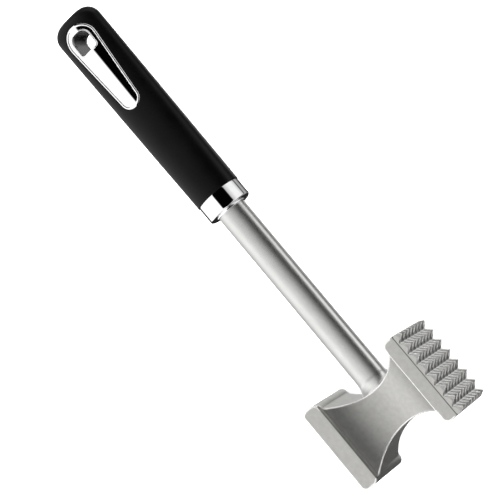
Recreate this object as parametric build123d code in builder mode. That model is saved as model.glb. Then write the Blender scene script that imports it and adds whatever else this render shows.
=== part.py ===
from build123d import *
import os
from math import atan, cos, sin, sqrt

# Meat mallet: a cast head with a toothed face and a flat face, a turned stem, a chrome collar with a
# seal, and a soft grip over a rigid core with a chrome-faced hanging hole.
#
# +X runs along the handle towards the head, +Y towards the toothed face and +Z up. The mallet lies on
# the side of its head. The origin is under the stem's axis, half way along the mallet, in the plane
# that the head lies on. Millimetres.

# Driving dimensions: whole mallet
LENGTH = 300.0
HEAD_SIDE = 52.0  # both striking faces are square
HALF = HEAD_SIDE / 2
AXIS_Z = HALF  # height of the stem's axis above the resting plane
HEAD_X = LENGTH / 2 - HALF  # middle of the head along the handle

# Head: two square plates with a neck between them, scooped on all four sides
FLAT_Y = -34.2  # flat striking face
ROOT_Y = 31.7  # bottom of the grooves between the teeth
TOOTH_HEIGHT = 3.7
TIP_Y = ROOT_Y + TOOTH_HEIGHT
WALL_FLAT_Y = -24.2  # inner side of the flat plate
WALL_TOOTH_Y = 23.5  # inner side of the toothed plate
NECK_HALF = 11.9  # half the thickness of the neck at its narrowest
SIDE_SCOOP = (34.5, 4.0, 3.5)  # seen along Z: scoop radius, its floor fillet and the plates' corner radius
FACE_SCOOP = (31.5, 1.2, 0.7)  # the same, seen along X
BAR_CORNER_RADIUS = 1.8  # corners of the square faces seen along Y

# Teeth: pyramids left between crossing grooves
ROW_PITCH = 6.93  # between neighbouring rows
ROW_GROOVES = range(-4, 5)  # counted from the middle of the head
CROSS_PITCH = 6.7  # between the teeth of a row, the first of which peaks at the back of the head
CROSS_GROOVES = range(8)  # counted from the back of the head
CROSS_DEPTH = 3.3  # the grooves across the rows are a little shallower than the ones between them
TOOTH_TIP_WIDTH = 0.5
ROW_MOUTH_HALF = (ROW_PITCH - TOOTH_TIP_WIDTH) / 2  # half the width of a groove's mouth
CROSS_MOUTH_HALF = (CROSS_PITCH - TOOTH_TIP_WIDTH) / 2

# Stem: a spigot in the head, a round stem with a flared foot, and a tang in the handle
STEM_RADIUS = 8.5
FOOT_RADIUS = 11.8
FOOT_HEIGHT = 7.0
SPIGOT_RADIUS = 6.0
SPIGOT_LENGTH = 19.0
TANG_RADIUS = 5.5
TANG_END_X = -78.0
TANG_CHAMFER = 1.0
FIT = 0.02  # radial clearance of pieces pressed or moulded together

# Collar and seal
COLLAR_FRONT_X = -11.8
COLLAR_BACK_X = -22.2
COLLAR_RADIUS = 13.1
COLLAR_MOUTH_RADIUS = 9.4
COLLAR_CAVITY_RADIUS = 11.7
COLLAR_LIP_RADIUS = 1.0
MOUTH_DEPTH = 0.9
SEAL_RADIUS = 10.4
SEAL_LENGTH = 1.9
SEAL_BACK_X = COLLAR_FRONT_X - MOUTH_DEPTH - SEAL_LENGTH
SHOULDER_DEPTH = 3.4  # the full stem reaches this far behind the seal
STEM_SHOULDER_X = SEAL_BACK_X - SHOULDER_DEPTH

# Grip: stations along it, each with its width (Y), thickness (Z), corner radius and shift in Y
GRIP_END_X = -LENGTH / 2
GRIP_STATIONS = (
    (GRIP_END_X, 30.2, 19.6, 8.9, -0.6),
    (-86.0, 28.8, 23.0, 11.0, -0.35),
    (COLLAR_BACK_X, 27.1, 27.1, 13.3, 0.0),
)
GRIP_END_RADIUS = 8.6
SKIN = 1.8  # thickness of the soft sleeve over the core

# Cross pins that hold the tang in the core
PIN_RADIUS = 1.5
PIN_LENGTH = 19.0
PIN_X = (-42.0, -64.0)

# Hanging hole and the chrome plates around it
HANG_X = -133.6  # centre of the round end of each plate
HANG_Y = -0.5
PLATE_TOP_RADIUS = 9.4
PLATE_TIP_RADIUS = 6.2
PLATE_SPAN = 41.6  # between the centres of the plate's two round ends
PLATE_THICKNESS = 2.0
PLATE_SINK = 0.5  # face of the plate below the crest of the grip
RIM_WIDTH = 1.1
RIM_HEIGHT = 0.6
HOLE_START = -4.9  # near and far ends of the hole, from the centre of the plate's round end
HOLE_END = 7.3
HOLE_WIDTH = 10.8
HOLE_ARCH_RADIUS = 4.4
HOLE_CORNER_RADIUS = 1.5
HOLE_LIP = 0.7
PEG_RADIUS = 1.4
PEG_LENGTH = 3.0
PEG_SPOTS = (18.0, 38.0)

STEM_LINE = Axis((0, 0, AXIS_Z), (1, 0, 0))


def scoop_half_height(radius, y):
    """Distance from the stem's axis to the floor of a scoop of that radius, at y."""
    return NECK_HALF + radius - sqrt(radius**2 - y**2)


def scoop(side, radius, floor_fillet):
    """One scoop's outline: an arc over the neck between the inner sides of the two plates."""
    with BuildSketch(mode=Mode.PRIVATE) as outline:
        with BuildLine():
            arc = ThreePointArc(
                (side * scoop_half_height(radius, WALL_FLAT_Y), WALL_FLAT_Y),
                (side * NECK_HALF, 0),
                (side * scoop_half_height(radius, WALL_TOOTH_Y), WALL_TOOTH_Y),
            )
            mouth = [(side * (HALF + 1), y) for y in (WALL_TOOTH_Y, WALL_FLAT_Y)]
            Polyline(arc @ 1, *mouth, arc @ 0)
        make_face()
        floor_corners = [v for v in outline.vertices() if v in arc.vertices()]
        fillet(floor_corners, floor_fillet)
    add(outline.sketch, mode=Mode.SUBTRACT)


def spool(radius, floor_fillet, corner_radius):
    """Outline of the head from the side: two plates with a scooped neck between them, and round corners."""
    with BuildSketch(mode=Mode.PRIVATE) as outline:
        with Locations((0, (FLAT_Y + TIP_Y) / 2)):
            Rectangle(HEAD_SIDE, TIP_Y - FLAT_Y)
        scoop(-1, radius, floor_fillet)
        scoop(1, radius, floor_fillet)
        corners = [v for v in outline.vertices() if abs(v.X) > HALF - FIT and v.Y < ROOT_Y]
        fillet(corners, corner_radius)
    add(outline.sketch)


def wedge(tip, depth_step, half_width_step):
    """Triangular groove section from its bottom to the two edges of its mouth, in the current sketch."""
    with BuildSketch(mode=Mode.PRIVATE) as outline:
        with BuildLine():
            left = Vector(*tip) + Vector(*depth_step) + Vector(*half_width_step)
            right = Vector(*tip) + Vector(*depth_step) - Vector(*half_width_step)
            Polyline(tip, left, right, close=True)
        make_face()
    add(outline.sketch)


def revolve_about_stem(points):
    """Turns a profile of (x, radius) points about the stem's axis, in the current part."""
    with BuildSketch(Plane.XZ) as profile:
        with BuildLine():
            Polyline(*[(x, AXIS_Z + radius) for x, radius in points], close=True)
        make_face()
    revolve(profile.sketch, axis=STEM_LINE)


def grip_body(inset):
    """Lofts the grip's outer shape, or the same shape a set distance inside it, in the current part."""
    outlines = []
    for x, width, thickness, corner, shift in GRIP_STATIONS:
        station = x + inset if x == GRIP_END_X else x
        with BuildSketch(Plane.YZ.offset(station)) as outline:
            with Locations((shift, AXIS_Z)):
                RectangleRounded(width - 2 * inset, thickness - 2 * inset, corner - inset)
        outlines.append(outline.sketch)
    loft(outlines)
    end_face = faces().sort_by(Axis.X)[0]
    fillet(end_face.edges(), GRIP_END_RADIUS - inset)


def plate_plane(side, depth):
    """Plane parallel to the grip's surface at the hanging hole, a depth below its crest; side is 1 or -1."""
    (x0, _, thick0, _, _), (x1, _, thick1, _, _) = GRIP_STATIONS[:2]
    slope = (thick1 - thick0) / 2 / (x1 - x0)
    tilt = atan(slope)
    crest = thick0 / 2 + slope * (HANG_X - x0)
    surface = Plane(
        origin=(HANG_X, HANG_Y, AXIS_Z + side * crest),
        x_dir=(cos(tilt), 0, side * sin(tilt)),
        z_dir=(-sin(tilt), 0, side * cos(tilt)),
    )
    return surface.offset(-depth)


def teardrop(grow=0.0, mode=Mode.ADD):
    """Outline of a hanging plate, from its round end to its narrow tip."""
    with BuildSketch(mode=Mode.PRIVATE) as outline:
        Circle(PLATE_TOP_RADIUS + grow)
        with Locations((PLATE_SPAN, 0)):
            Circle(PLATE_TIP_RADIUS + grow)
        make_hull()
    add(outline.sketch, mode=mode)


def hanging_hole(grow=0.0, mode=Mode.ADD):
    """Outline of the hanging hole: arched towards the end of the grip, nearly square towards the head."""
    with BuildSketch(mode=Mode.PRIVATE) as outline:
        with Locations(((HOLE_START + HOLE_END) / 2, 0)):
            Rectangle(HOLE_END - HOLE_START + 2 * grow, HOLE_WIDTH + 2 * grow)
        fillet(outline.vertices().group_by(Axis.X)[0], HOLE_ARCH_RADIUS + grow)
        fillet(outline.vertices().group_by(Axis.X)[-1], HOLE_CORNER_RADIUS + grow)
    add(outline.sketch, mode=mode)


def hanging_plate(side):
    """Chrome plate around one mouth of the hanging hole, with a rim, a lip and two pegs."""
    with BuildPart() as plate:
        with BuildSketch(plate_plane(side, PLATE_SINK + PLATE_THICKNESS)):
            teardrop()
        extrude(amount=PLATE_THICKNESS)
        with BuildSketch(plate_plane(side, PLATE_SINK)):
            teardrop()
            teardrop(-RIM_WIDTH, mode=Mode.SUBTRACT)
        extrude(amount=RIM_HEIGHT)
        with BuildSketch(plate_plane(side, PLATE_SINK)):
            hanging_hole(HOLE_LIP)
        extrude(amount=RIM_HEIGHT)
        with BuildSketch(plate_plane(side, PLATE_SINK + PLATE_THICKNESS)):
            with Locations(*[(spot, 0) for spot in PEG_SPOTS]):
                Circle(PEG_RADIUS)
        extrude(amount=-PEG_LENGTH)
        with BuildSketch(plate_plane(side, PLATE_SINK + PLATE_THICKNESS)):
            hanging_hole()
        extrude(amount=PLATE_THICKNESS + RIM_HEIGHT, mode=Mode.SUBTRACT)
    return plate


# The head is the square bar between the faces, cut to its outline and then scooped and toothed.
with BuildPart() as hammer_head:
    with BuildSketch(Plane(origin=(HEAD_X, FLAT_Y, AXIS_Z), x_dir=(1, 0, 0), z_dir=(0, 1, 0))):
        RectangleRounded(HEAD_SIDE, HEAD_SIDE, BAR_CORNER_RADIUS)
    extrude(amount=TIP_Y - FLAT_Y)
    with BuildSketch(Plane(origin=(HEAD_X, 0, 0))):
        spool(*SIDE_SCOOP)
    extrude(amount=HEAD_SIDE, mode=Mode.INTERSECT)
    with BuildSketch(Plane(origin=(HEAD_X - HALF, 0, AXIS_Z), x_dir=(0, 0, -1), z_dir=(1, 0, 0))):
        spool(*FACE_SCOOP)
    extrude(amount=HEAD_SIDE, mode=Mode.INTERSECT)
    # Grooves along Z part the rows of teeth, and grooves along X part each row into pyramids.
    with BuildSketch():
        for groove in ROW_GROOVES:
            bottom = (HEAD_X + groove * ROW_PITCH, ROOT_Y)
            wedge(bottom, (0, TOOTH_HEIGHT), (ROW_MOUTH_HALF, 0))
    extrude(amount=HEAD_SIDE, mode=Mode.SUBTRACT)
    with BuildSketch(Plane.YZ.offset(HEAD_X - HALF)):
        for groove in CROSS_GROOVES:
            bottom = (TIP_Y - CROSS_DEPTH, AXIS_Z - HALF + (groove + 0.5) * CROSS_PITCH)
            wedge(bottom, (CROSS_DEPTH, 0), (0, CROSS_MOUTH_HALF))
    extrude(amount=HEAD_SIDE, mode=Mode.SUBTRACT)
    with BuildSketch(Plane.YZ.offset(HEAD_X - HALF)):
        with Locations((0, AXIS_Z)):
            Circle(SPIGOT_RADIUS)
    extrude(amount=HALF - NECK_HALF + SPIGOT_LENGTH + 1, mode=Mode.SUBTRACT)
hammer_head.part.label = "hammer_head"

# The foot of the stem is cut to sit on the scoop of the head.
with BuildPart() as stem:
    seat_x = HEAD_X - NECK_HALF
    revolve_about_stem(
        (
            (TANG_END_X, 0),
            (TANG_END_X, TANG_RADIUS - TANG_CHAMFER),
            (TANG_END_X + TANG_CHAMFER, TANG_RADIUS),
            (STEM_SHOULDER_X, TANG_RADIUS),
            (STEM_SHOULDER_X, STEM_RADIUS),
            (seat_x + 1, STEM_RADIUS),
            (seat_x + 1, SPIGOT_RADIUS - FIT),
            (seat_x + SPIGOT_LENGTH, SPIGOT_RADIUS - FIT),
            (seat_x + SPIGOT_LENGTH, 0),
        )
    )
    with BuildSketch(Plane.XZ):
        with BuildLine():
            foot_top = (seat_x - FOOT_HEIGHT, AXIS_Z + STEM_RADIUS)
            foot_edge = (seat_x, AXIS_Z + FOOT_RADIUS)
            flare = TangentArc(foot_top, foot_edge, tangent=(1, 0))
            inner_corners = [(x, AXIS_Z + TANG_RADIUS) for x in (seat_x, seat_x - FOOT_HEIGHT)]
            Polyline(flare @ 1, *inner_corners, flare @ 0)
        make_face()
    revolve(axis=STEM_LINE)
    add(hammer_head.part, mode=Mode.SUBTRACT)
    for x in PIN_X:
        with BuildSketch(Plane.XZ):
            with Locations((x, AXIS_Z)):
                Circle(PIN_RADIUS)
        extrude(amount=TANG_RADIUS + 1, both=True, mode=Mode.SUBTRACT)
stem.part.label = "stem"

with BuildPart() as tang_pins:
    with BuildSketch(Plane.XZ):
        with Locations(*[(x, AXIS_Z) for x in PIN_X]):
            Circle(PIN_RADIUS - FIT)
    extrude(amount=PIN_LENGTH / 2, both=True)
tang_pins.part.label = "tang_pins"

with BuildPart() as collar:
    mouth_x = COLLAR_FRONT_X - MOUTH_DEPTH
    revolve_about_stem(
        (
            (COLLAR_BACK_X, COLLAR_CAVITY_RADIUS),
            (COLLAR_BACK_X, COLLAR_RADIUS),
            (COLLAR_FRONT_X, COLLAR_RADIUS),
            (COLLAR_FRONT_X, COLLAR_MOUTH_RADIUS),
            (mouth_x, COLLAR_MOUTH_RADIUS),
            (mouth_x, SEAL_RADIUS),
            (SEAL_BACK_X, SEAL_RADIUS),
            (SEAL_BACK_X, COLLAR_CAVITY_RADIUS),
        )
    )
    fillet(edges().group_by(Axis.X)[-1].sort_by(SortBy.RADIUS)[-1], COLLAR_LIP_RADIUS)
collar.part.label = "collar"

with BuildPart() as collar_seal:
    revolve_about_stem(
        (
            (SEAL_BACK_X, STEM_RADIUS + FIT),
            (SEAL_BACK_X, SEAL_RADIUS - FIT),
            (mouth_x, SEAL_RADIUS - FIT),
            (mouth_x, STEM_RADIUS + FIT),
        )
    )
collar_seal.part.label = "collar_seal"

# The core is moulded over the tang; its nose fills the collar and holds the seal.
with BuildPart() as handle_core:
    grip_body(SKIN + FIT)
    revolve_about_stem(
        (
            (COLLAR_BACK_X - 1, TANG_RADIUS),
            (COLLAR_BACK_X - 1, COLLAR_CAVITY_RADIUS - 2 * FIT),
            (SEAL_BACK_X, COLLAR_CAVITY_RADIUS - 2 * FIT),
            (SEAL_BACK_X, TANG_RADIUS),
        )
    )
    with BuildSketch(Plane.YZ.offset(TANG_END_X)):
        with Locations((0, AXIS_Z)):
            Circle(TANG_RADIUS + FIT)
    extrude(amount=SEAL_BACK_X - TANG_END_X, mode=Mode.SUBTRACT)
    with BuildSketch(Plane.YZ.offset(STEM_SHOULDER_X)):
        with Locations((0, AXIS_Z)):
            Circle(STEM_RADIUS + FIT)
    extrude(amount=SEAL_BACK_X - STEM_SHOULDER_X, mode=Mode.SUBTRACT)
    with BuildSketch(Plane.XZ):
        with Locations(*[(x, AXIS_Z) for x in PIN_X]):
            Circle(PIN_RADIUS)
    extrude(amount=PIN_LENGTH / 2, both=True, mode=Mode.SUBTRACT)
    for side in (-1, 1):
        with BuildSketch(plate_plane(side, PLATE_SINK + PLATE_THICKNESS)):
            teardrop(FIT)
        extrude(amount=HEAD_SIDE, mode=Mode.SUBTRACT)
        with BuildSketch(plate_plane(side, PLATE_SINK + PLATE_THICKNESS)):
            with Locations(*[(spot, 0) for spot in PEG_SPOTS]):
                Circle(PEG_RADIUS + FIT)
        extrude(amount=-PEG_LENGTH, mode=Mode.SUBTRACT)
    with BuildSketch(Plane.XY.offset(AXIS_Z)):
        with Locations((HANG_X, HANG_Y)):
            hanging_hole()
    extrude(amount=HALF, both=True, mode=Mode.SUBTRACT)
handle_core.part.label = "handle_core"

with BuildPart() as grip_sleeve:
    grip_body(0)
    with BuildPart(mode=Mode.PRIVATE) as inner_body:
        grip_body(SKIN)
    add(inner_body.part, mode=Mode.SUBTRACT)
    for side in (-1, 1):
        with BuildSketch(plate_plane(side, PLATE_SINK + PLATE_THICKNESS)):
            teardrop(2 * FIT)
        extrude(amount=HEAD_SIDE, mode=Mode.SUBTRACT)
grip_sleeve.part.label = "grip_sleeve"

hang_plate_front = hanging_plate(1)
hang_plate_front.part.label = "hang_plate_front"

hang_plate_back = hanging_plate(-1)
hang_plate_back.part.label = "hang_plate_back"

os.makedirs("parts", exist_ok=True)
pieces = (
    hammer_head,
    stem,
    tang_pins,
    collar,
    collar_seal,
    handle_core,
    grip_sleeve,
    hang_plate_front,
    hang_plate_back,
)
for piece in pieces:
    export_step(piece.part, f"parts/{piece.part.label}.step")
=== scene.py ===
"""Looks of the meat mallet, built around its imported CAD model.

The frame is the CAD model's: +X along the handle towards the head, +Y towards the toothed face, +Z up
from the side that the mallet lies on. Shapes are worked out here in millimetres, and in metres once
they become meshes.
"""
from math import cos, pi, radians, sin, tan

import bpy
import numpy as np
from mathutils import Matrix, Vector


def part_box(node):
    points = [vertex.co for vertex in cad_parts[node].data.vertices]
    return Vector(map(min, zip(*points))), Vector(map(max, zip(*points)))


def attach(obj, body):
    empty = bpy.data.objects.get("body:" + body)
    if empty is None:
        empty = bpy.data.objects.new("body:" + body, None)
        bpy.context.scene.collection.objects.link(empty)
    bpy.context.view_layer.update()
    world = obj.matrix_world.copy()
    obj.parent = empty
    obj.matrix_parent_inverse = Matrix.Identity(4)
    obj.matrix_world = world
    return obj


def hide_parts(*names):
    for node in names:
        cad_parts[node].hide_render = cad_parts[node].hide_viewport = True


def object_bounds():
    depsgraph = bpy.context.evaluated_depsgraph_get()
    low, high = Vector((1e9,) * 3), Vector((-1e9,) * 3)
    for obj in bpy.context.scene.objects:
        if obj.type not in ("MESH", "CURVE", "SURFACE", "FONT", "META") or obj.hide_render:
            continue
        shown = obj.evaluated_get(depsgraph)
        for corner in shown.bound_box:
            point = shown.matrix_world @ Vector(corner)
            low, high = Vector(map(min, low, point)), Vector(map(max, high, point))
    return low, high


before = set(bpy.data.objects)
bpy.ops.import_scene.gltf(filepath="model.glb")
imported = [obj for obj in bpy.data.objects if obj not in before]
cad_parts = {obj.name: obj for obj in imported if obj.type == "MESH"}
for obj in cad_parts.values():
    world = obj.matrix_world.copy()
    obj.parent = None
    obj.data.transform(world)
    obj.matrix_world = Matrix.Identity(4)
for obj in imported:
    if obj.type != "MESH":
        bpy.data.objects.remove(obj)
cad_low, cad_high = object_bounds()

MM = 0.001


def node_box(name):
    """Lowest and highest corner of a CAD node in millimetres."""
    low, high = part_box(name)
    return np.array(low) / MM, np.array(high) / MM


head_low, head_high = node_box("hammer_head")
collar_low, collar_high = node_box("collar")
seal_low = node_box("collar_seal")[0]
grip_low, grip_high = node_box("grip_sleeve")

# Places that the pieces share
AXIS_Z = (head_low[2] + head_high[2]) / 2
HEAD_X = (head_low[0] + head_high[0]) / 2
HALF = (head_high[0] - head_low[0]) / 2
FLAT_Y = head_low[1]
TIP_Y = head_high[1]
STEM_RADIUS = 8.5

# Head
TOOTH_HEIGHT = 3.7
ROOT_Y = TIP_Y - TOOTH_HEIGHT
FLAT_PLATE = 10.0  # thickness of the plate behind the flat face
WALL_FLAT_Y = FLAT_Y + FLAT_PLATE
TOOTH_PLATE = 8.2  # thickness of the plate under the teeth
WALL_TOOTH_Y = ROOT_Y - TOOTH_PLATE
NECK_HALF = 11.9
SCOOP_RADIUS = 34.5
FACE_SCOOP_RADIUS = 30.5  # of the scoops in front and behind
FULL_SCOOP_RADIUS = 36.4  # the scoop on the far side is fuller in front
FULL_SCOOP_Y = 3.7
FLOOR_FILLET = 0.4  # where the scoops meet the inner walls of the plates
PLATE_CORNER = 3.5
FRONT_CORNER = 0.9  # of the square plates seen along Y, in front and behind
BACK_CORNER = 2.0
RIDGE_RADIUS = 0.7
CRISP_EDGE = 0.45
SLOT_EDGE = 0.12  # of the casting where it ends at the slot under the teeth

# Teeth: rows of pyramids on a plinth that leaves a slot above the plate
ROW_PITCH = 6.93
ROW_GROOVES = np.arange(-4, 5)  # counted from the middle of the head
CROSS_PITCH = 6.7  # along a row, which peaks at the back of the head
CROSS_GROOVES = np.arange(8)  # counted from the back of the head
CROSS_DEPTH = 3.3  # of the grooves across the rows
CREASE_STEPS = 6  # grid lines on each flank
SLOT = 0.5
PLINTH_INSET = 0.7
PLINTH_LINE = 0.05  # the plinth's edge lies this far under the roots
PLINTH_SINK = 1.0  # into the casting

# Wear and painted light, as a value on each mesh vertex: above 0 is rubbed bright, partly wear and partly a
# painted highlight, and below 0 is painted shade
PAINTED_SHADE = -1.8
HALF_PAINTED_SHADE = -0.8
EDGE_RUB_AND_HIGHLIGHT = 1.35  # times the bend of the casting's edges, rubbed bright as wear and painted highlight
NO_EDGE_HIGHLIGHT_DEPTH = 1.5  # depth under the slot's floor with no rubbed edge or painted highlight
SLOT_SHADE = 0.3  # depth under that floor that gets painted shade
WALL_FOOT = (1.6, 3.5)  # foot of the flat plate's inner wall with half-strength painted shade: height, and reach from the outside
WALL_LINE = (0.4, 2.8)  # line of full painted shade along that foot: half height, and reach from the outside
TOOTH_PAINT_FADE = 1.0  # a tooth's painted light and wear fade over this height from its edge
VALLEY_HIGHLIGHT_FADE = 0.9  # and the painted highlight fades over this height from the bottom between two rows
LIT_FROM = 0.49  # share of the cross pitch from which a flank is painted lit, just before the crest
LIT_FLANK = (-0.1, 1.6)  # value on a flank painted lit, which faces the front, and the painted highlight that its edge adds
# painted shade on a flank that faces the back, and the further painted shade that its edge adds
SHADED_FLANK = (HALF_PAINTED_SHADE, -1.0)
# painted highlight in the bottoms between two rows
VALLEY_HIGHLIGHT = 1.5
# painted highlight on the facets at the front ends of the rows
FRONT_HIGHLIGHT = 0.8
FRONT_FACETS = 1.6 * CROSS_PITCH / 2  # reach of the facets at the front ends of the rows
RUB_AND_HIGHLIGHT_RANGE = (0.25, 1.6)  # of the wear and painted light value, from untouched to fully rubbed bright, partly wear and partly a painted highlight
PAINTED_SHADE_RANGE = (PAINTED_SHADE, -0.2)  # of the wear and painted light value, from full painted shade to untouched
RUBBED_ROUGHNESS = 0.25

# Stem and its foot
STEM_SINK = 2.0  # into the collar and into the neck
STEM_START_X = seal_low[0] - STEM_SINK
SEAT_X = HEAD_X - NECK_HALF
FLARE_RADIUS = 8.6
FLARE_START_X = SEAT_X - 7.0
FLARE_RUN = SEAT_X + 0.5 - FLARE_START_X
FOOT_HALF = NECK_HALF - 0.15  # just short of the neck's front and back
FOOT_EDGE = 1.2

# Collar and its seal
COLLAR_RADIUS = 13.1
COLLAR_WALL = 1.3
COLLAR_BACK_EDGE = 0.25
COLLAR_FRONT_EDGE = 1.0
BORE_DEPTH = 1.5
LIP_RADIUS = 9.45
LIP_REACH = 0.9
LIP_WALL = 0.35
LIP_BORE = LIP_RADIUS - 2 * LIP_WALL
LIP_ROOT = ((0.0, 0.6), (0.15, 0.1))  # x past the collar's front and radius past the lip
SEAL_PRESS = 0.05  # into the stem
SEAL_GRIP = 0.02  # into the lip
SEAL_CROWN = ((-0.2, LIP_BORE + SEAL_GRIP), (0.0, LIP_BORE - 0.05), (0.05, STEM_RADIUS + 0.1))

# Grip: x, half width, half thickness and shift in Y of its oval section at three stations
GRIP_STATIONS = (
    (grip_low[0], 15.1, 9.8, -0.6),
    (-86.0, 14.4, 11.5, -0.35),
    (grip_high[0], 13.55, 13.55, 0.0),
)
GRIP_END_RADIUS = 8.6
SKIN = 1.8
SLEEVE_EDGE = 0.5  # at the collar
WINDOW_EDGE = 0.35  # round the hanging plates

# Hanging plates and hole
HANG_X = -133.6
HANG_Y = -0.5
TEARDROP_TOP = 9.4
TEARDROP_TIP = 6.2
TEARDROP_SPAN = 41.6
PLATE_THICKNESS = 2.0
PLATE_SINK = 0.5
PLATE_GAP = 0.08
RIM_WIDTH = 1.1
RIM_HEIGHT = 0.6
RIM_EDGE = 0.5
RIM_FOOT = 0.35
PLATE_EDGE = 0.2
HOLE_START = -4.9
HOLE_END = 7.3
HOLE_WIDTH = 10.8
HOLE_ARCH = 4.4
HOLE_CORNER = 1.5
HOLE_LIP = 0.7


# ---------------------------------------------------------------- distances


def smooth_max(a, b, blend):
    """The larger of two distances, with the edge between them rounded over about `blend`."""
    overlap = np.maximum(blend - np.abs(a - b), 0) / blend
    return np.maximum(a, b) + overlap**2 * blend / 4


def smooth_min(a, b, blend):
    """The smaller of two distances, with the corner between them filled over about `blend`."""
    return -smooth_max(-a, -b, blend)


def round_max(a, b, radius):
    """Where both distances hold, with the edge between them rounded to a true radius."""
    u, v = a + radius, b + radius
    return np.hypot(np.maximum(u, 0), np.maximum(v, 0)) + np.minimum(np.maximum(u, v), 0) - radius


def box_distance(u, v, half_u, half_v, radius):
    """Distance from a rectangle about the origin with round corners."""
    return round_max(np.abs(u) - half_u, np.abs(v) - half_v, radius)


def spool_distance(height, y, corner, centre_y=0.0, radius=SCOOP_RADIUS):
    """The head's outline from one side, open at both faces: two plates and the neck between the scoops."""
    plates = np.minimum(y - WALL_FLAT_Y, WALL_TOOTH_Y - y)
    neck = radius - np.hypot(np.abs(height) - NECK_HALF - radius, y - centre_y)
    reach = (WALL_TOOTH_Y - WALL_FLAT_Y) / 2 + PLATE_CORNER
    neck = np.maximum(neck, np.abs(y - (WALL_FLAT_Y + WALL_TOOTH_Y) / 2) - reach)
    return round_max(smooth_min(plates, neck, FLOOR_FILLET), np.abs(height) - HALF, corner)


def head_distance(x, y, z):
    """The casting up to the slot under its teeth."""
    along = x - HEAD_X
    front = z - AXIS_Z
    handle_side = spool_distance(along, y, PLATE_CORNER)
    far_side = spool_distance(along, y, PLATE_CORNER, FULL_SCOOP_Y, FULL_SCOOP_RADIUS)
    share = np.clip(0.5 + front / (2 * HALF), 0, 1) * (along > 0)
    sides = handle_side + (far_side - handle_side) * share
    faces = spool_distance(front, y, CRISP_EDGE, 0.0, FACE_SCOOP_RADIUS)
    beyond_neck = np.maximum(y - WALL_TOOTH_Y, WALL_FLAT_Y - y)
    plate_corner = np.where(front < 0, BACK_CORNER, FRONT_CORNER)
    corner = RIDGE_RADIUS + (plate_corner - RIDGE_RADIUS) * np.clip(1 + beyond_neck / PLATE_CORNER, 0, 1)
    body = round_max(sides, faces, corner)
    flat_edge = CRISP_EDGE + (PLATE_CORNER - CRISP_EDGE) * np.clip(1 + (sides - faces) / 2, 0, 1)
    body = round_max(body, FLAT_Y - y, flat_edge)
    return smooth_max(body, y - ROOT_Y + SLOT, SLOT_EDGE)


def stem_distance(x, y, z):
    """The stem with its flared foot, which is trimmed flush with the front and back of the neck."""
    run = np.clip(x - FLARE_START_X, 0, FLARE_RUN)
    drop = np.sqrt(FLARE_RADIUS**2 - run**2)
    lean = drop / FLARE_RADIUS
    tube = (np.hypot(y, z - AXIS_Z) - STEM_RADIUS - FLARE_RADIUS + drop) * lean
    trimmed = smooth_max(tube, np.abs(z - AXIS_Z) - FOOT_HALF, FOOT_EDGE)
    return np.maximum(trimmed, np.maximum(STEM_START_X - x, x - SEAT_X - STEM_SINK))


def grip_at(x):
    """Half width, half thickness and shift of the grip at x, on a curve through its stations."""
    (x0, *first), (x1, *middle), (x2, *last) = GRIP_STATIONS
    weights = (
        (x - x1) * (x - x2) / ((x0 - x1) * (x0 - x2)),
        (x - x0) * (x - x2) / ((x1 - x0) * (x1 - x2)),
        (x - x0) * (x - x1) / ((x2 - x0) * (x2 - x1)),
    )
    return [sum(w * value for w, value in zip(weights, row)) for row in zip(first, middle, last)]


def grip_distance(x, y, z):
    """The grip's outer surface, with no end at the collar."""
    width, thickness, shift = grip_at(x)
    u, v = y - shift, z - AXIS_Z
    share = np.hypot(u / width, v / thickness)
    side = share * (share - 1) / np.maximum(np.hypot(u / width**2, v / thickness**2), 1e-6)
    return round_max(side, grip_low[0] - x, GRIP_END_RADIUS)


def teardrop_distance(x, y):
    """Outline of a hanging plate: the hull of its round end and its narrow tip."""
    u, v = np.abs(y - HANG_Y), x - HANG_X
    lean = (TEARDROP_TOP - TEARDROP_TIP) / TEARDROP_SPAN
    run = (1 - lean**2) ** 0.5
    along = -u * lean + v * run
    flank = u * run + v * lean - TEARDROP_TOP
    top = np.hypot(u, v) - TEARDROP_TOP
    tip = np.hypot(u, v - TEARDROP_SPAN) - TEARDROP_TIP
    return np.where(along < 0, top, np.where(along > run * TEARDROP_SPAN, tip, flank))


def hole_distance(x, y):
    """Outline of the hanging hole: arched towards the grip's end and nearly square towards the head."""
    u = x - HANG_X - (HOLE_START + HOLE_END) / 2
    v = y - HANG_Y
    half = (HOLE_END - HOLE_START) / 2
    arch = box_distance(u, v, half, HOLE_WIDTH / 2, HOLE_ARCH)
    square = box_distance(u, v, half, HOLE_WIDTH / 2, HOLE_CORNER)
    return np.where(u < 0, arch, square)


def sleeve_distance(x, y, z):
    """The rubber sleeve, with windows for the hanging plates."""
    outer = grip_distance(x, y, z)
    shell = np.maximum(round_max(outer, x - grip_high[0], SLEEVE_EDGE), -outer - SKIN)
    return smooth_max(shell, PLATE_GAP - teardrop_distance(x, y), WINDOW_EDGE)


def plate_distance(side):
    """The hanging plate on one side of the grip; side is 1 in front and -1 behind."""

    def distance(x, y, z):
        surface = grip_distance(x, y, z)
        edge = teardrop_distance(x, y)
        hole = hole_distance(x, y)
        face = surface + PLATE_SINK
        rim = smooth_max(np.abs(edge + RIM_WIDTH / 2) - RIM_WIDTH / 2, face - RIM_HEIGHT, RIM_EDGE)
        lip = smooth_max(hole - HOLE_LIP, face - RIM_HEIGHT, RIM_EDGE)
        raised = np.minimum(rim, lip)
        plate = smooth_min(smooth_max(edge, face, PLATE_EDGE), raised, RIM_FOOT)
        plate = np.maximum(plate, -surface - PLATE_SINK - PLATE_THICKNESS)
        plate = smooth_max(plate, -hole, RIM_EDGE)
        return np.maximum(plate, -side * (z - AXIS_Z))

    return distance


# ---------------------------------------------------------------- meshes


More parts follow.
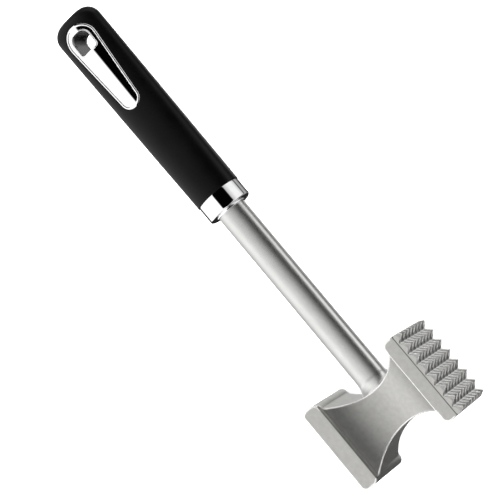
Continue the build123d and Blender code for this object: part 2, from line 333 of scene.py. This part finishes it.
def graded(*stretches):
    """Grid lines: each stretch is (start, end, spacing), and each starts where the last one ended."""
    lines = []
    for start, end, spacing in stretches:
        count = max(1, round((end - start) / spacing))
        lines.append(np.linspace(start, end, count, endpoint=False))
    lines.append([stretches[-1][1]])
    return np.concatenate(lines)


def gradient(field, points, step=0.04):
    """Slope of a distance field at points, by central differences."""
    slope = np.empty_like(points)
    for axis in range(3):
        nudge = np.zeros(3)
        nudge[axis] = step
        slope[:, axis] = field(*(points + nudge).T) - field(*(points - nudge).T)
    return slope / (2 * step)


def curvature(field, points, step=0.35):
    """How sharply the surface bends at points, per millimetre: positive on edges, negative in corners."""
    total = -6 * field(*points.T)
    for axis in range(3):
        nudge = np.zeros(3)
        nudge[axis] = step
        total += field(*(points + nudge).T) + field(*(points - nudge).T)
    return total / step**2


def wave(turn):
    """0 in each groove, where turn is whole, and 1 on each crest between."""
    return 1 - np.abs(2 * (turn - np.floor(turn)) - 1)


def surface_net(field, xs, ys, zs):
    """Quad mesh of the surface where field is 0, with one vertex in each grid cell that it crosses."""
    value = field(xs[:, None, None], ys[None, :, None], zs[None, None, :])
    inside = value < 0
    lines = (xs, ys, zs)
    cells = tuple(n - 1 for n in value.shape)
    total = np.zeros(cells + (3,))
    count = np.zeros(cells)
    crossings = []
    for axis in range(3):
        near = tuple(slice(None, -1) if a == axis else slice(None) for a in range(3))
        far = tuple(slice(1, None) if a == axis else slice(None) for a in range(3))
        where = np.argwhere(inside[near] != inside[far])
        v0 = value[near][tuple(where.T)]
        v1 = value[far][tuple(where.T)]
        point = np.stack([lines[a][where[:, a]] for a in range(3)], axis=1)
        reach = lines[axis][where[:, axis] + 1] - lines[axis][where[:, axis]]
        point[:, axis] += reach * v0 / (v0 - v1)
        b, c = [a for a in range(3) if a != axis]
        for back_b in (0, 1):
            for back_c in (0, 1):
                cell = where.copy()
                cell[:, b] -= back_b
                cell[:, c] -= back_c
                fits = (cell >= 0).all(1) & (cell < cells).all(1)
                index = tuple(cell[fits].T)
                np.add.at(total, index, point[fits])
                np.add.at(count, index, 1)
        crossings.append((axis, where, inside[near][tuple(where.T)]))
    used = count > 0
    number = np.full(cells, -1)
    number[used] = np.arange(used.sum())
    vertices = total[used] / count[used][:, None]
    faces = []
    for axis, where, starts_inside in crossings:
        b, c = [(1, 2), (2, 0), (0, 1)][axis]
        ring = []
        for back_b, back_c in ((0, 0), (1, 0), (1, 1), (0, 1)):
            cell = where.copy()
            cell[:, b] -= back_b
            cell[:, c] -= back_c
            ring.append(number[tuple(cell.T)])
        quad = np.stack(ring, axis=1)
        quad[~starts_inside] = quad[~starts_inside][:, ::-1]
        faces.append(quad)
    return vertices, np.concatenate(faces)


def settle(field, vertices, reach, rounds=2):
    """Moves vertices onto the surface, each by at most `reach` a round."""
    for _ in range(rounds):
        slope = gradient(field, vertices)
        size = np.maximum((slope**2).sum(1), 0.05)
        move = slope * (field(*vertices.T) / size)[:, None]
        length = np.linalg.norm(move, axis=1)[:, None]
        vertices = vertices - move * np.minimum(1, reach / np.maximum(length, 1e-9))
    return vertices


def mesh_piece(name, vertices, faces, normals=None, smooth=True, wear_and_painted_light=None):
    """A mesh object from vertices in millimetres, with an optional value on each vertex for its wear and
    painted light: rubbed edges that are partly a painted highlight, and corners of painted shade.
    """
    mesh = bpy.data.meshes.new(name)
    mesh.from_pydata((vertices * MM).tolist(), [], [list(map(int, f)) for f in faces])
    mesh.validate()
    mesh.polygons.foreach_set("use_smooth", [smooth] * len(mesh.polygons))
    if normals is not None:
        mesh.normals_split_custom_set_from_vertices(normals.tolist())
    if wear_and_painted_light is not None:
        mesh.attributes.new("wear_and_painted_light", "FLOAT", "POINT").data.foreach_set("value", wear_and_painted_light.astype(np.float32))
    piece = bpy.data.objects.new(name, mesh)
    bpy.context.scene.collection.objects.link(piece)
    return piece


def no_shade(wear_and_painted_light, vertices):
    """Wear and painted light as the shape's own edges and corners give it: edges rubbed bright, partly a
    painted highlight, and corners of painted shade.
    """
    return wear_and_painted_light


def head_shade(wear_and_painted_light, vertices):
    """Wear and painted light on the casting: its edges are rubbed brighter, partly a painted highlight,
    except near the slot under the teeth, which gets painted shade, as does the foot of the flat plate's
    inner wall, with a line of full painted shade along it.
    """
    y = vertices[:, 1]
    outer = np.abs(vertices[:, 2] - AXIS_Z) - HALF
    wear_and_painted_light = np.where(wear_and_painted_light > 0, EDGE_RUB_AND_HIGHLIGHT * wear_and_painted_light, wear_and_painted_light)
    wear_and_painted_light = np.where(y > ROOT_Y - SLOT - NO_EDGE_HIGHLIGHT_DEPTH, np.minimum(wear_and_painted_light, 0), wear_and_painted_light)
    wear_and_painted_light = np.where(y > ROOT_Y - SLOT - SLOT_SHADE, PAINTED_SHADE, wear_and_painted_light)
    foot = (y > WALL_FLAT_Y) & (y < WALL_FLAT_Y + WALL_FOOT[0]) & (outer > -WALL_FOOT[1])
    line = (np.abs(y - WALL_FLAT_Y) < WALL_LINE[0]) & (outer > -WALL_LINE[1])
    wear_and_painted_light = np.where(foot, np.minimum(wear_and_painted_light, HALF_PAINTED_SHADE), wear_and_painted_light)
    return np.where(line, PAINTED_SHADE, wear_and_painted_light)


def field_piece(name, field, xs, ys, zs, reach=0.15, shade=no_shade):
    """A piece from a distance field, with normals from the field's slope."""
    vertices, faces = surface_net(field, xs, ys, zs)
    vertices = settle(field, vertices, reach)
    slope = gradient(field, vertices)
    normals = slope / np.maximum(np.linalg.norm(slope, axis=1), 1e-6)[:, None]
    return mesh_piece(name, vertices, faces, normals, wear_and_painted_light=shade(curvature(field, vertices), vertices))


def tucked(x, z):
    """Moves places on the square face in where its corners are round."""
    radius = np.where(z < 0, BACK_CORNER, FRONT_CORNER)
    u, v = np.abs(x) - HALF + radius, np.abs(z) - HALF + radius
    length = np.hypot(np.maximum(u, 0), np.maximum(v, 0))
    share = np.where((u > 0) & (v > 0), np.maximum(u, v) / np.maximum(length, 1e-9), 1)
    return (np.sign(x) * (np.abs(x) + np.where(share < 1, u * (share - 1), 0)),
            np.sign(z) * (np.abs(z) + np.where(share < 1, v * (share - 1), 0)))


def groove_lines(grooves, flank, pitch):
    """Grid lines across the square face: the same shares of every flank, and the face's two sides."""
    both = np.concatenate([-flank[::-1], flank[1:]]) * pitch / 2
    lines = np.unique(np.round(np.concatenate([both + groove for groove in grooves]), 6))
    return np.concatenate([[-HALF], lines[np.abs(lines) < HALF - 0.05], [HALF]])


def tooth_block(name):
    """The toothed face: a grid whose lines meet on the pyramids' edges, and a plinth under it."""
    steps = np.linspace(0, 1, CREASE_STEPS + 1)
    first_cross = CROSS_PITCH / 2 - HALF
    row_steps = np.concatenate([[0], 1 - (1 - steps) * CROSS_DEPTH / TOOTH_HEIGHT])
    xs = groove_lines(ROW_GROOVES * ROW_PITCH, row_steps, ROW_PITCH)
    zs = groove_lines(first_cross + CROSS_GROOVES * CROSS_PITCH, steps, CROSS_PITCH)
    row_turn, cross_turn = xs / ROW_PITCH, (zs - first_cross) / CROSS_PITCH
    row_rise = TOOTH_HEIGHT * wave(row_turn)[:, None]
    cross_rise = TOOTH_HEIGHT - CROSS_DEPTH * (1 - wave(cross_turn))[None, :]
    past_crease = row_rise - cross_rise
    rise = np.minimum(row_rise, cross_rise)
    inward = np.clip(HALF - np.abs(xs), 0, TOOTH_HEIGHT)[:, None]
    rise = np.minimum(rise, np.sqrt(TOOTH_HEIGHT**2 - (TOOTH_HEIGHT - inward) ** 2))
    # Painted light on the teeth: flanks that face the front are painted lit with a painted highlight on
    # their edges, flanks that face the back and the grooves across the rows get painted shade, and the
    # bottoms between rows and the facets at the front ends get a painted highlight.
    edge = np.clip(1 - np.abs(past_crease) / TOOTH_PAINT_FADE, 0, 1)
    lit = (cross_turn % 1 > LIT_FROM)[None, :]
    cross = np.clip(1 - (cross_rise - TOOTH_HEIGHT + CROSS_DEPTH) / TOOTH_PAINT_FADE, 0, 1)
    cross = cross * (past_crease > -TOOTH_PAINT_FADE)
    flanks = [plain + added * edge for plain, added in (LIT_FLANK, SHADED_FLANK)]
    wear_and_painted_light = np.where(lit, *flanks) + PAINTED_SHADE * cross
    wear_and_painted_light += VALLEY_HIGHLIGHT * np.clip(1 - row_rise / VALLEY_HIGHLIGHT_FADE, 0, 1)
    wear_and_painted_light = np.where((past_crease > 0) & (zs > HALF - FRONT_FACETS)[None, :], FRONT_HIGHLIGHT, wear_and_painted_light)
    wear_and_painted_light[:, [0, -1]] = 0
    wear_and_painted_light[[0, -1], :] = 0
    grid_x, grid_z = tucked(*np.meshgrid(xs, zs, indexing="ij"))
    top = np.stack([HEAD_X + grid_x, ROOT_Y + rise, AXIS_Z + grid_z], axis=-1)
    number = np.arange(rise.size).reshape(rise.shape)
    faces = []
    for i in range(len(xs) - 1):
        for j in range(len(zs) - 1):
            a, b, c, d = number[i, j], number[i, j + 1], number[i + 1, j + 1], number[i + 1, j]
            off = np.abs(past_crease[i : i + 2, j : j + 2])
            if off[0, 0] + off[1, 1] < off[0, 1] + off[1, 0]:
                faces += [(a, b, c), (a, c, d)]
            else:
                faces += [(a, b, d), (b, c, d)]
    loop = np.concatenate([number[:-1, 0], number[-1, :-1], number[:0:-1, -1], number[0, :0:-1]])
    rim = top.reshape(-1, 3)[loop]
    centre = np.array([HEAD_X, 0, AXIS_Z])
    foot, inset = rim.copy(), rim.copy()
    foot[:, 1] = ROOT_Y - PLINTH_LINE
    inset[:, 1] = ROOT_Y - PLINTH_LINE
    inset[:, ::2] = centre[::2] + (rim - centre)[:, ::2] * (1 - PLINTH_INSET / HALF)
    base = inset.copy()
    base[:, 1] = ROOT_Y - SLOT - PLINTH_SINK
    skirt = (foot, inset, base)
    rings = [loop]
    for k in range(len(skirt)):
        rings.append(rise.size + k * len(loop) + np.arange(len(loop)))
    for upper, lower in zip(rings, rings[1:]):
        faces += zip(upper, np.roll(upper, -1), np.roll(lower, -1), lower)
    faces.append(tuple(rings[-1]))
    vertices = np.concatenate([top.reshape(-1, 3), *skirt])
    wear_and_painted_light = np.concatenate([wear_and_painted_light.ravel(), np.zeros(len(skirt) * len(loop))])
    return mesh_piece(name, vertices, faces, smooth=False, wear_and_painted_light=wear_and_painted_light)


def lathe(name, profile, segments=160):
    """A ring turned about the stem's axis from a closed profile of (x, radius)."""
    turns = np.arange(segments) * 2 * pi / segments
    rows = [
        np.stack([np.full(segments, x), r * np.cos(turns), AXIS_Z + r * np.sin(turns)], axis=1)
        for x, r in profile
    ]
    faces = []
    count = len(profile)
    for i in range(count):
        j = (i + 1) % count
        for k in range(segments):
            m = (k + 1) % segments
            faces.append((i * segments + k, j * segments + k, j * segments + m, i * segments + m))
    return mesh_piece(name, np.concatenate(rows), faces)


def arc(centre, radius, start, end, steps=6):
    """Points (x, radius) on an arc in a lathe's profile; angles in degrees from +X towards outwards."""
    angles = np.radians(np.linspace(start, end, steps + 1))
    return [(centre[0] + radius * cos(a), centre[1] + radius * sin(a)) for a in angles]


# ---------------------------------------------------------------- materials


def node_material(name, **values):
    """A material with its Principled shader's own sockets set; returns it with its nodes and links."""
    material = bpy.data.materials.new(name)
    material.use_nodes = True
    nodes, links = material.node_tree.nodes, material.node_tree.links
    shader = nodes["Principled BSDF"]
    for socket, value in values.items():
        shader.inputs[socket.replace("_", " ")].default_value = value
    return material, nodes, links, shader


def noise(nodes, links, size_mm, detail=3.0, roughness=0.55, stretch=(1, 1, 1)):
    """Noise in the object's own space, with features of about that size."""
    place = nodes.new("ShaderNodeTexCoord")
    scale = nodes.new("ShaderNodeMapping")
    scale.inputs["Scale"].default_value = [s / (size_mm * MM) for s in stretch]
    texture = nodes.new("ShaderNodeTexNoise")
    texture.inputs["Scale"].default_value = 1.0
    texture.inputs["Detail"].default_value = detail
    texture.inputs["Roughness"].default_value = roughness
    links.new(place.outputs["Object"], scale.inputs["Vector"])
    links.new(scale.outputs["Vector"], texture.inputs["Vector"])
    return texture.outputs["Fac"]


def spread(nodes, links, source, low, high, start=0.3, end=0.7):
    """Maps a value's range from start to end onto low to high, and holds it at both ends."""
    ranged = nodes.new("ShaderNodeMapRange")
    ranged.inputs["From Min"].default_value = start
    ranged.inputs["From Max"].default_value = end
    ranged.inputs["To Min"].default_value = low
    ranged.inputs["To Max"].default_value = high
    links.new(source, ranged.inputs["Value"])
    return ranged.outputs["Result"]


def blended(nodes, links, factor, first, second):
    """Mixes two colours, each a socket or a plain colour."""
    mix = nodes.new("ShaderNodeMix")
    mix.data_type = "RGBA"
    links.new(factor, mix.inputs["Factor"])
    for name, colour in (("A", first), ("B", second)):
        if isinstance(colour, tuple):
            mix.inputs[name].default_value = (*colour, 1)
        else:
            links.new(colour, mix.inputs[name])
    return mix.outputs["Result"]


def tint(nodes, links, source, dark, light):
    """Maps a noise onto the colours between two."""
    return blended(nodes, links, spread(nodes, links, source, 0, 1), dark, light)


def paint(nodes, links, shader, source, dark, light):
    """Colours a surface between two colours by a noise."""
    links.new(tint(nodes, links, source, dark, light), shader.inputs["Base Color"])


def roughen(nodes, links, shader, source, low, high):
    """Varies a surface's roughness by a noise."""
    links.new(spread(nodes, links, source, low, high), shader.inputs["Roughness"])


def bump(nodes, links, shader, source, strength, height_mm):
    """Raises a surface by a noise, in its normals only."""
    node = nodes.new("ShaderNodeBump")
    node.inputs["Strength"].default_value = strength
    node.inputs["Distance"].default_value = height_mm * MM
    links.new(source, node.inputs["Height"])
    links.new(node.outputs["Normal"], shader.inputs["Normal"])


def rub_and_paint_light(nodes, links, colour, roughness, rub_and_highlight_colour, metallic, painted_shade_colour):
    """Brightens the convex edges, partly as wear and partly as a painted highlight with less metal and a
    brighter colour, and darkens the corners with painted shade, by the value on the mesh's vertices.
    """
    wear_and_painted_light = nodes.new("ShaderNodeAttribute")
    wear_and_painted_light.attribute_name = "wear_and_painted_light"
    edge = spread(nodes, links, wear_and_painted_light.outputs["Fac"], 0, 1, *RUB_AND_HIGHLIGHT_RANGE)
    painted_shade = spread(nodes, links, wear_and_painted_light.outputs["Fac"], 1, 0, *PAINTED_SHADE_RANGE)
    colour = blended(nodes, links, painted_shade, colour, painted_shade_colour)
    colour = blended(nodes, links, edge, colour, rub_and_highlight_colour)
    rough = nodes.new("ShaderNodeMix")
    links.new(edge, rough.inputs["Factor"])
    links.new(roughness, rough.inputs["A"])
    rough.inputs["B"].default_value = RUBBED_ROUGHNESS
    return colour, rough.outputs["Result"], spread(nodes, links, edge, *metallic, 0, 1)


def cast_metal(name, metallic, painted_shade):
    """Sand-blasted casting: fine pits, a mottled grey, an uneven dull gloss, rubbed edges that are partly a
    painted highlight, and painted shade in its corners.

    The metallic pair is for its plain surface and its rubbed edges, and the last colour is that of the
    painted shade in its corners and grooves.
    """
    material, nodes, links, shader = node_material(name)
    mottle = noise(nodes, links, 2.4, detail=4)
    grain = noise(nodes, links, 0.32, detail=2)
    colour = tint(nodes, links, mottle, (0.61, 0.605, 0.58), (0.69, 0.685, 0.66))
    roughness = spread(nodes, links, grain, 0.36, 0.48)
    # colour of the rubbed edges, partly wear and partly a painted highlight
    bright = (0.96, 0.95, 0.93)
    colour, roughness, metallic = rub_and_paint_light(nodes, links, colour, roughness, bright, metallic, painted_shade)
    links.new(colour, shader.inputs["Base Color"])
    links.new(roughness, shader.inputs["Roughness"])
    links.new(metallic, shader.inputs["Metallic"])
    bump(nodes, links, shader, grain, 0.30, 0.05)
    return material


def stem_metal():
    """Turned stem, blasted finer than the head."""
    material, nodes, links, shader = node_material("stem_metal", Metallic=1.0)
    mottle = noise(nodes, links, 3.0, detail=4, stretch=(0.4, 1, 1))
    grain = noise(nodes, links, 0.28, detail=2)
    paint(nodes, links, shader, mottle, (0.84, 0.84, 0.82), (0.91, 0.91, 0.89))
    roughen(nodes, links, shader, grain, 0.26, 0.36)
    bump(nodes, links, shader, grain, 0.2, 0.04)
    return material


def chrome():
    """Mirror-bright chrome plate, with a faint ripple and tint."""
    material, nodes, links, shader = node_material("chrome", Metallic=1.0, Roughness=0.0)
    haze = noise(nodes, links, 5.0, detail=3)
    paint(nodes, links, shader, haze, (0.86, 0.865, 0.87), (0.93, 0.935, 0.94))
    bump(nodes, links, shader, noise(nodes, links, 9.0, detail=1), 0.1, 0.02)
    return material


def soft_rubber():
    """Soft-touch rubber: nearly black, with a very fine skin."""
    material, nodes, links, shader = node_material("soft_rubber", IOR=1.29)
    cloud = noise(nodes, links, 14.0, detail=3)
    skin = noise(nodes, links, 0.22, detail=2)
    paint(nodes, links, shader, cloud, (0.0003, 0.0003, 0.0003), (0.0006, 0.0006, 0.0005))
    roughen(nodes, links, shader, cloud, 0.28, 0.34)
    bump(nodes, links, shader, skin, 0.12, 0.02)
    return material


def moulded_plastic():
    """Glossy black plastic of the core, seen in the hanging hole."""
    material, nodes, links, shader = node_material("moulded_plastic", IOR=1.5)
    cloud = noise(nodes, links, 3.0, detail=3)
    paint(nodes, links, shader, cloud, (0.006, 0.006, 0.006), (0.011, 0.011, 0.011))
    roughen(nodes, links, shader, cloud, 0.10, 0.18)
    bump(nodes, links, shader, noise(nodes, links, 1.5), 0.1, 0.03)
    return material


def ground_steel():
    """Cross pins, ground round."""
    material, nodes, links, shader = node_material("ground_steel", Metallic=1.0)
    lines = noise(nodes, links, 0.5, detail=3, stretch=(1, 0.1, 1))
    paint(nodes, links, shader, lines, (0.42, 0.43, 0.44), (0.56, 0.57, 0.58))
    roughen(nodes, links, shader, lines, 0.25, 0.4)
    return material


def seal_rubber():
    """Plain matt rubber of the seal."""
    material, nodes, links, shader = node_material("seal_rubber")
    cloud = noise(nodes, links, 1.2, detail=3)
    paint(nodes, links, shader, cloud, (0.007, 0.007, 0.007), (0.013, 0.013, 0.013))
    roughen(nodes, links, shader, cloud, 0.5, 0.7)
    bump(nodes, links, shader, cloud, 0.2, 0.03)
    return material


def pale_floor():
    material, nodes, links, shader = node_material("pale_floor")
    cloud = noise(nodes, links, 400.0, detail=2)
    paint(nodes, links, shader, cloud, (0.88, 0.88, 0.88), (0.9, 0.9, 0.9))
    roughen(nodes, links, shader, cloud, 0.75, 0.85)
    return material


def dress(piece, material):
    """Gives a piece its only material, in the slot of that name."""
    piece.data.materials.clear()
    piece.data.materials.append(material)


def stands_for(piece, node, material):
    """A new piece that stands for a CAD node of the same place and size."""
    dress(piece, material)
    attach(piece, "root")
    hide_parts(node)


# ---------------------------------------------------------------- pieces

coarse = 1.0  # times the spacing of most grid lines

MARGIN = 0.3  # of the head's grid past its surface
WIDE_MARGIN = 0.4  # of the grids of the sleeve and the hanging plates
EDGE_BAND = 0.9  # of fine lines inside the head's outline
PLATE_BAND = 1.0  # of fine lines inside its plates, at their inner walls and the slot
NECK_BAND = 2.0  # of fine lines at the neck's two ends
FINE = 0.2
FOOT_SPAN = 14.2
SLEEVE_LOW_Y, SLEEVE_HIGH_Y = -15.9, 15.2
SLEEVE_SPAN_Z = 13.9
PLATE_SPAN_Z = (3.5, 13.0)  # from the axis

head_lines = graded(
    (-HALF - MARGIN, -HALF + EDGE_BAND, FINE),
    (-HALF + EDGE_BAND, HALF - EDGE_BAND, 0.35 * coarse),
    (HALF - EDGE_BAND, HALF + MARGIN, FINE),
)
head_heights = graded(
    (FLAT_Y - MARGIN, FLAT_Y + EDGE_BAND, FINE),
    (FLAT_Y + EDGE_BAND, WALL_FLAT_Y - PLATE_BAND, 0.5),
    (WALL_FLAT_Y - PLATE_BAND, WALL_FLAT_Y + NECK_BAND, 0.25),
    (WALL_FLAT_Y + NECK_BAND, WALL_TOOTH_Y - NECK_BAND, 0.9),
    (WALL_TOOTH_Y - NECK_BAND, WALL_TOOTH_Y + PLATE_BAND, FINE),
    (WALL_TOOTH_Y + PLATE_BAND, ROOT_Y - PLATE_BAND, 0.5),
    (ROOT_Y - PLATE_BAND, ROOT_Y + MARGIN, 0.15),
)
head = field_piece(
    "head_casting", head_distance, HEAD_X + head_lines, head_heights, AXIS_Z + head_lines, shade=head_shade
)
head.visible_glossy = False
# the last colour is the painted shade in the casting's corners
cast = cast_metal("cast_metal", (1, 0.9), (0.30, 0.295, 0.28))
stands_for(head, "hammer_head", cast)
teeth = tooth_block("teeth")
teeth.visible_glossy = False
# the teeth's copy of the casting has a little less metal, which brightens it as painted light, and a darker
# painted shade
dress(teeth, cast_metal("tooth_metal", (0.982, 0.74), (0.09, 0.089, 0.085)))
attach(teeth, "root")

foot_lines = graded((-FOOT_SPAN, FOOT_SPAN, 0.45 * coarse))
flare_lines_x = FLARE_START_X - 4
stem_lines = graded(
    (STEM_START_X - 0.5, flare_lines_x, 2.0),
    (flare_lines_x, SEAT_X + 2.5, 0.45 * coarse),
)
stem = field_piece("stem_tube", stem_distance, stem_lines, foot_lines, AXIS_Z + foot_lines)
stands_for(stem, "stem", stem_metal())

collar_front = collar_high[0]
collar_back = collar_low[0]
back_edge = (collar_back + COLLAR_BACK_EDGE, COLLAR_RADIUS - COLLAR_BACK_EDGE)
front_edge = (collar_front - COLLAR_FRONT_EDGE, COLLAR_RADIUS - COLLAR_FRONT_EDGE)
lip_end = (collar_front + LIP_REACH - LIP_WALL, LIP_RADIUS - LIP_WALL)
collar_profile = [
    (collar_back, COLLAR_RADIUS - COLLAR_WALL),
    *arc(back_edge, COLLAR_BACK_EDGE, 180, 90, 3),
    *[(x, COLLAR_RADIUS) for x in np.linspace(collar_back + 1, collar_front - 1.6, 5)],
    *arc(front_edge, COLLAR_FRONT_EDGE, 90, 0, 8),
    *[(collar_front + x, LIP_RADIUS + radius) for x, radius in LIP_ROOT],
    *arc(lip_end, LIP_WALL, 90, -90, 8),
    (collar_front - BORE_DEPTH, LIP_BORE),
    (collar_front - BORE_DEPTH, COLLAR_RADIUS - COLLAR_WALL),
]
polished = chrome()
collar = lathe("collar_ring", collar_profile, 192)
stands_for(collar, "collar", polished)

seal_profile = [
    (seal_low[0], STEM_RADIUS - SEAL_PRESS),
    (seal_low[0], LIP_BORE + SEAL_GRIP),
    *[(collar_front + x, radius) for x, radius in SEAL_CROWN],
    (collar_front, STEM_RADIUS - SEAL_PRESS),
]
seal = lathe("seal_ring", seal_profile)
stands_for(seal, "collar_seal", seal_rubber())

window_end_x = HANG_X + TEARDROP_SPAN + 8
sleeve_lines = graded(
    (grip_low[0] - WIDE_MARGIN, window_end_x, 0.5 * coarse),
    (window_end_x, grip_high[0] - 1, 1.0),
    (grip_high[0] - 1, grip_high[0] + MARGIN, 0.25),
)
sleeve = field_piece(
    "soft_sleeve",
    sleeve_distance,
    sleeve_lines,
    graded((SLEEVE_LOW_Y, SLEEVE_HIGH_Y, 0.5 * coarse)),
    AXIS_Z + graded((-SLEEVE_SPAN_Z, SLEEVE_SPAN_Z, 0.5 * coarse)),
)
stands_for(sleeve, "grip_sleeve", soft_rubber())

plate_low_x = HANG_X - TEARDROP_TOP - WIDE_MARGIN
plate_high_x = HANG_X + TEARDROP_SPAN + TEARDROP_TIP + WIDE_MARGIN
plate_low_y = HANG_Y - TEARDROP_TOP - WIDE_MARGIN
plate_high_y = HANG_Y + TEARDROP_TOP + WIDE_MARGIN
for side, node in ((1, "hang_plate_front"), (-1, "hang_plate_back")):
    plate = field_piece(
        node.replace("hang", "chrome"),
        plate_distance(side),
        graded((plate_low_x, plate_high_x, 0.3 * coarse)),
        graded((plate_low_y, plate_high_y, 0.3 * coarse)),
        AXIS_Z + side * graded((*PLATE_SPAN_Z, 0.25 * coarse))[::side],
    )
    stands_for(plate, node, polished)

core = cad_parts["handle_core"]
dress(core, moulded_plastic())
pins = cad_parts["tang_pins"]
dress(pins, ground_steel())

# ---------------------------------------------------------------- studio

FLOOR_HALF = 3.0
FLOOR_DROP = 0.0003  # under the mallet
floor_mesh = bpy.data.meshes.new("floor")
corners = [(x * FLOOR_HALF, y * FLOOR_HALF) for x, y in ((-1, -1), (1, -1), (1, 1), (-1, 1))]
floor_mesh.from_pydata([(x, y, cad_low.z - FLOOR_DROP) for x, y in corners], [], [(0, 1, 2, 3)])
floor = bpy.data.objects.new("floor", floor_mesh)
bpy.context.scene.collection.objects.link(floor)
floor.data.materials.append(pale_floor())
floor.visible_glossy = False


def band_ramp(nodes, links, share, bands):
    """Brightness from (angle in degrees, level) pairs, for a share of the turn from -180 to 180 degrees."""
    ramp = nodes.new("ShaderNodeValToRGB")
    stops = ramp.color_ramp.elements
    while len(stops) < len(bands):
        stops.new(0.5)
    for stop, (angle, level) in zip(stops, bands):
        stop.position = (angle + 180) / 360
        stop.color = (level, level, level, 1)
    links.new(share, ramp.inputs["Fac"])
    return ramp.outputs["Color"]


# Brightness round the handle's direction: 0 is up, -90 is the flat face's side and 90 the teeth's side.
MIRRORED = (
    (-180, 0.02), (-122, 0.02), (-117, 1.3), (-11, 1.3), (-7, 0.001), (54, 0.001), (58, 0.6), (68, 0.77),
    (80, 1.0), (105, 1.0), (115, 0.76), (121, 0.72), (125, 0.12), (131, 0.12), (136, 0.45), (148, 0.4),
    (158, 0.15), (180, 0.05),
)
SOFTENED = (
    (-180, 0.10), (-130, 0.25), (-111, 0.46), (-87, 0.76), (-68, 0.95), (-45, 1.02), (-30, 0.90),
    (-10, 0.80), (10, 0.65), (30, 0.43), (50, 0.17), (66, 0.03), (90, 0.03), (103, 1.3), (117, 1.3),
    (127, 0.12), (140, 0.05), (180, 0.05),
)
BY_THE_GRIP = (
    (-180, 0.10), (-130, 0.40), (-100, 1.15), (-75, 1.25), (-55, 1.05), (-40, 0.62), (-25, 0.22),
    (-10, 0.06), (8, 0.01), (25, 0.0), (180, 0.0),
)

# Fades along a direction's x, y or z: the values at its start and its end, then that start and end.
TO_UNDER = (1, 0, -0.75, -0.45)  # along z, from the light under the mallet to the panels above
UNDER_BY_X = (0.75, 0.02, -0.14, 0.36)
UNDER_BY_Y = (1, 0.08, 0.35, 0.6)
PAST_THE_GRIP = (0, 1, -0.22, -0.165)  # along x, from BY_THE_GRIP to SOFTENED
BEFORE_THE_GRIP = (1, 0, -0.36, -0.28)  # along x, from SOFTENED to BY_THE_GRIP
SURROUNDINGS = 4.0  # what lights the floor and the matt parts, and what the camera sees past the floor


def math_of(nodes, links, operation, first, second):
    """The result of a math node on two sockets."""
    node = nodes.new("ShaderNodeMath")
    node.operation = operation
    links.new(first, node.inputs[0])
    links.new(second, node.inputs[1])
    return node.outputs["Value"]


def studio_world():
    """Soft surroundings: sharp panels for mirror-bright parts and graded ones for dull parts."""
    world = bpy.data.worlds.new("studio")
    world.use_nodes = True
    nodes, links = world.node_tree.nodes, world.node_tree.links
    place = nodes.new("ShaderNodeTexCoord")
    split = nodes.new("ShaderNodeSeparateXYZ")
    links.new(place.outputs["Generated"], split.inputs["Vector"])
    x, y, z = (split.outputs[axis] for axis in "XYZ")
    share = spread(nodes, links, math_of(nodes, links, "ARCTAN2", y, z), 0, 1, -pi, pi)
    below = spread(nodes, links, z, *TO_UNDER)
    by_x, by_y = spread(nodes, links, x, *UNDER_BY_X), spread(nodes, links, y, *UNDER_BY_Y)
    under = math_of(nodes, links, "MULTIPLY", by_x, by_y)
    past, before = spread(nodes, links, x, *PAST_THE_GRIP), spread(nodes, links, x, *BEFORE_THE_GRIP)
    off_the_grip = math_of(nodes, links, "MAXIMUM", past, before)
    panels = [band_ramp(nodes, links, share, bands) for bands in (BY_THE_GRIP, SOFTENED)]
    above = blended(nodes, links, off_the_grip, *panels)
    soft = blended(nodes, links, below, above, under)
    sharp = band_ramp(nodes, links, share, MIRRORED)
    path = nodes.new("ShaderNodeLightPath")
    gloss = blended(nodes, links, path.outputs["Is Singular Ray"], soft, sharp)
    everything = blended(nodes, links, path.outputs["Is Glossy Ray"], (SURROUNDINGS,) * 3, gloss)
    links.new(everything, nodes["Background"].inputs["Color"])
    world.cycles.sampling_method = "NONE"
    bpy.context.scene.world = world


studio_world()

# The camera looks down on the side of the mallet, leaning towards its head and its teeth.
LEAN_TO_HEAD = radians(8.426)
LEAN_TO_TEETH = radians(19.214)
DISTANCE = 1.00729
SLANT = radians(50.18)  # of the handle on the picture, below its horizontal
LENS = 135.12
SENSOR = 36.0
TARGET_X, TARGET_Y = 11.7, -6.63
target = Vector((TARGET_X, TARGET_Y, AXIS_Z)) * MM
back = Vector((tan(LEAN_TO_HEAD), tan(LEAN_TO_TEETH), 1)).normalized()
along = (Vector((1, 0, 0)) - back * back.x).normalized()
across = back.cross(along)
right = along * cos(SLANT) + across * sin(SLANT)
up = back.cross(right)
camera_data = bpy.data.cameras.new("camera")
camera_data.lens = LENS
camera_data.sensor_width = SENSOR
camera = bpy.data.objects.new("camera", camera_data)
bpy.context.scene.collection.objects.link(camera)
facing = Matrix((right, up, back)).transposed().to_4x4()
camera.matrix_world = Matrix.Translation(target + back * DISTANCE) @ facing
bpy.context.scene.camera = camera
bpy.context.scene.view_settings.view_transform = "Standard"
